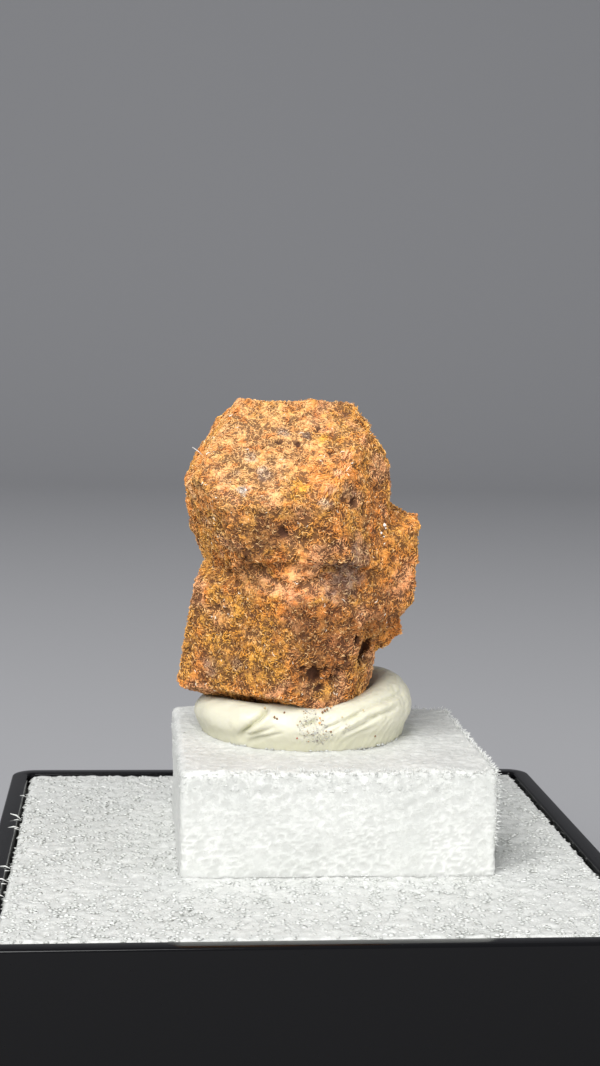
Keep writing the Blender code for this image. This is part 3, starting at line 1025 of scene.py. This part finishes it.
def ridge_on(place, normal, colour, _, clean):
    """A copy of one of the ridges at this place on the crust, a little lighter or darker than it; a few are
    painted glints.
    """
    length = picker.uniform(*RIDGE_LENGTHS)
    upright = normal.to_track_quat("Z", "X").to_matrix().to_4x4()
    tilt = Matrix.Rotation(picker.uniform(-RIDGE_TILT, RIDGE_TILT), 4, "X")
    angle = picker.uniform(0, math.tau)
    aside = place / MM - streak_start
    far = aside.dot(streak)
    if 0 < far < streak_far and (aside - streak * far).length < STREAK_REACH:
        level = upright.to_3x3().transposed() @ streak
        angle = math.atan2(level.y, level.x) + picker.uniform(-STREAK_WANDER, STREAK_WANDER)
        length = STREAK_LENGTH
    turned = Matrix.Rotation(angle, 4, "Z") @ tilt
    shift = Vector([picker.uniform(-RIDGE_SHIFT, RIDGE_SHIFT) for _ in range(3)])
    placed = Matrix.Translation(place + shift) @ upright @ turned @ Matrix.Scale(length, 4)
    light = picker.uniform(0.0, 1.0)
    # A few ridges are given a pale colour as painted glints.
    if light > 1 - PAINTED_GLINT_RIDGES:
        colour = PAINTED_GLINT
    elif light > 1 - LIGHT_RIDGES:
        colour = blended(colour, LIGHT_RIDGE, picker.uniform(0.2, 0.7))
    elif light < BROWN_RIDGES:
        colour = blended(colour, BROWN, picker.uniform(0.2, 0.9) * (1 - 0.6 * clean))
    return picker.choice(ridges), placed, colour


ridge_surface = crust_ridges()
for number in range(RIDGE_PIECES):
    rows = chosen[number * RIDGES_IN_A_PIECE:(number + 1) * RIDGES_IN_A_PIECE]
    copies = [ridge_on(*row) for row in rows]
    laid(f"crust_ridges_{number + 1}", "rusty_garnet", ridge_surface, copies)


# Loose bits: crumbs and dust of rust that fell on the front of the tack, pale specks in the notch at
# the right, and two short fibres that stand on the crust.
CRUMB_RUST = (0.22, 0.11, 0.05)
CRUMB_PALE = (0.85, 0.82, 0.78)
FIBRE_GIRTH = 0.3
DUST = 240
DUST_SIZES = (0.00004, 0.00012)
DUST_COLOURS = ((0.27, 0.26, 0.25), (0.36, 0.35, 0.32), (0.36, 0.24, 0.14), (0.18, 0.15, 0.14))
# Middle and size in millimetres, and colour.
CRUMBS = (
    ((-1.73, -0.92, 14.73), 0.16, (0.50, 0.36, 0.18)),
    ((-1.33, -1.49, 14.43), 0.16, CRUMB_RUST),
    ((-1.22, -1.53, 14.36), 0.15, CRUMB_RUST),
    ((-0.86, -1.40, 14.62), 0.15, CRUMB_RUST),
    ((-0.28, -1.83, 14.13), 0.11, (0.45, 0.36, 0.24)),
    ((-0.29, -1.79, 13.50), 0.13, (0.35, 0.06, 0.03)),
    ((0.77, -1.76, 14.44), 0.13, ORANGE),
    ((0.76, -1.85, 14.23), 0.16, (0.70, 0.38, 0.14)),
    ((0.90, -1.50, 14.66), 0.15, CRUMB_RUST),
    ((1.03, -1.43, 14.72), 0.17, CRUMB_RUST),
    ((1.14, -1.42, 14.78), 0.16, CRUMB_RUST),
    ((1.30, -1.36, 14.84), 0.11, CRUMB_RUST),
    ((1.82, -1.63, 14.46), 0.11, (0.55, 0.42, 0.22)),
    ((2.87, -1.12, 14.69), 0.11, (0.50, 0.36, 0.18)),
    ((1.30, -1.80, 13.80), 0.13, CRUMB_RUST),
    ((2.23, -1.24, 13.15), 0.13, CRUMB_RUST),
    ((2.34, -1.22, 13.17), 0.11, CRUMB_RUST),
    ((3.53, -0.74, 13.35), 0.13, CRUMB_RUST),
    ((3.63, -1.14, 23.43), 0.22, CRUMB_PALE),
    ((3.46, -1.36, 23.08), 0.16, CRUMB_PALE),
    ((3.62, -1.24, 22.90), 0.10, CRUMB_PALE),
    ((3.70, -1.08, 23.28), 0.12, CRUMB_PALE),
    ((-2.95, -2.60, 25.10), 0.16, CRUMB_PALE),
)
# Foot, length and lean of each fibre.
FIBRES = (
    ((-4.95, 1.0, 26.55), 0.75, (-0.8, 0.0, 0.65)),
    ((4.12, 1.5, 24.60), 0.65, (0.15, -0.1, 1.0)),
)

copies = []
for middle, size, colour in CRUMBS:
    turned = Matrix.Rotation(picker.uniform(0, math.tau), 4, "Z")
    placed = Matrix.Translation(Vector(middle) * MM) @ turned @ Matrix.Scale(size * MM, 4)
    copies.append((crumb_pattern, placed, colour))
for place, normal in picker.choices(smudged, k=DUST):
    upright = normal.to_track_quat("Z", "X").to_matrix().to_4x4()
    turned = upright @ Matrix.Rotation(picker.uniform(0, math.tau), 4, "Z")
    flake = picker.choice((crumb_pattern, ridges[0], ridges[1]))
    placed = Matrix.Translation(place) @ turned @ Matrix.Scale(picker.uniform(*DUST_SIZES), 4)
    copies.append((flake, placed, picker.choice(DUST_COLOURS)))
for foot, length, lean in FIBRES:
    upright = Vector(lean).to_track_quat("X", "Z").to_matrix().to_4x4()
    thin = Matrix.Diagonal((1.0, FIBRE_GIRTH, FIBRE_GIRTH, 1.0))
    placed = Matrix.Translation(Vector(foot) * MM) @ upright @ Matrix.Scale(length * MM, 4) @ thin
    copies.append((ridges[0], placed, CRUMB_PALE))
laid("loose_bits", "rusty_garnet", ridge_surface, copies)


# The stage is a plain pale floor that curves up behind the tray, with a large soft light above the front, a
# weaker one on the right, and the camera where the photograph was taken.
FLOOR_REACH = 0.6
FLOOR_CURVE = 0.25
FLOOR_BACK = 0.30
FLOOR_GREY = (0.34, 0.34, 0.35, 1.0)
LIT_PLACE = Vector((0, 0.002, 0.018))
AIR_COLOUR = (0.9, 0.93, 1.0, 1.0)
AIR_STRENGTH = 0.3
CAMERA_PLACE = Vector((-0.00822, -0.07999, 0.03164))
CAMERA_YAW = 5.74
CAMERA_PITCH = -6.21
CAMERA_ROLL = 1.26
CAMERA_LENS = 58.24

bm = bmesh.new()
side = FLOOR_REACH
strip = [bm.verts.new((-side, -side, 0.0)), bm.verts.new((-side, FLOOR_BACK, 0.0))]
edge = bm.edges.new(strip)
bend = bmesh.ops.spin(
    bm,
    geom=[strip[1]],
    axis=(1, 0, 0),
    cent=(-side, FLOOR_BACK, FLOOR_CURVE),
    angle=math.radians(90),
    steps=24,
)
top_vert = parts_of({"geom": bend["geom_last"]}, bmesh.types.BMVert)[0]
rise = bm.verts.new(top_vert.co + Vector((0, 0, FLOOR_REACH)))
bm.edges.new((top_vert, rise))
swept = bmesh.ops.extrude_edge_only(bm, edges=bm.edges[:])
bmesh.ops.translate(bm, verts=parts_of(swept, bmesh.types.BMVert), vec=(2 * side, 0, 0))
bmesh.ops.recalc_face_normals(bm, faces=bm.faces)
floor_mesh = bpy.data.meshes.new("floor")
bm.to_mesh(floor_mesh)
bm.free()
floor_mesh.shade_smooth()
floor = bpy.data.objects.new("floor", floor_mesh)
bpy.context.scene.collection.objects.link(floor)
pale = Look("pale_floor", Base_Color=FLOOR_GREY, Roughness=0.8)
floor_mesh.materials.append(pale.material)


def soft_light(name, place, size, power):
    lamp = bpy.data.lights.new(name, "AREA")
    lamp.size = size
    lamp.energy = power
    light = bpy.data.objects.new(name, lamp)
    light.location = place
    light.rotation_euler = (LIT_PLACE - Vector(place)).to_track_quat("-Z", "Y").to_euler()
    bpy.context.scene.collection.objects.link(light)


soft_light("key", place=(-0.14, -0.22, 0.27), size=0.26, power=2.15)
soft_light("fill", place=(0.26, -0.27, 0.11), size=0.25, power=0.8)
world = bpy.data.worlds.new("studio")
world.use_nodes = True
world.node_tree.nodes["Background"].inputs["Color"].default_value = AIR_COLOUR
world.node_tree.nodes["Background"].inputs["Strength"].default_value = AIR_STRENGTH
bpy.context.scene.world = world
bpy.context.scene.view_settings.view_transform = "Standard"

lens = bpy.data.cameras.new("camera")
lens.lens = CAMERA_LENS
lens.clip_start = 0.002
camera = bpy.data.objects.new("camera", lens)
aim = Euler((math.radians(90 + CAMERA_PITCH), 0, math.radians(-CAMERA_YAW))).to_matrix().to_4x4()
roll = Matrix.Rotation(math.radians(CAMERA_ROLL), 4, "Z")
camera.matrix_world = Matrix.Translation(CAMERA_PLACE) @ aim @ roll
bpy.context.scene.collection.objects.link(camera)
bpy.context.scene.camera = camera
